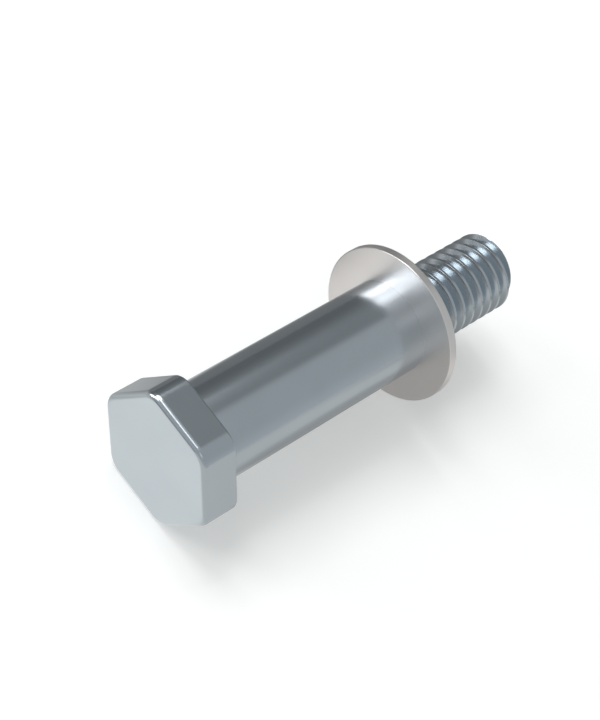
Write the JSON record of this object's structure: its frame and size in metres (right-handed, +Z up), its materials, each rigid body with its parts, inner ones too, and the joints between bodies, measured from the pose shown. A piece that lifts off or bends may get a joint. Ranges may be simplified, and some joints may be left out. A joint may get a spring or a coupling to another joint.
{
  "type": "striker bolt",
  "caption": "Door striker bolt with a low rounded-corner hex head, a plain cylindrical striker shank, a loose flat washer at its shoulder and a coarse threaded stud.",
  "frame": {"origin": "centre of the footprint, on the surface that the bolt lies on", "axes": "+X along the bolt from its hex head to its threaded tip, which is raised 2.5 degrees; +Z up, out of the head's upper flat"},
  "size_m": [0.0618, 0.0224, 0.0224],
  "materials": {
    "zinc_steel": "smooth bright zinc plating, faintly blue",
    "washer_steel": "fine-brushed warm grey steel"
  },
  "bodies": {
    "root": {"striker_bolt": "zinc_steel", "washer": "washer_steel"}
  },
  "joints": []
}
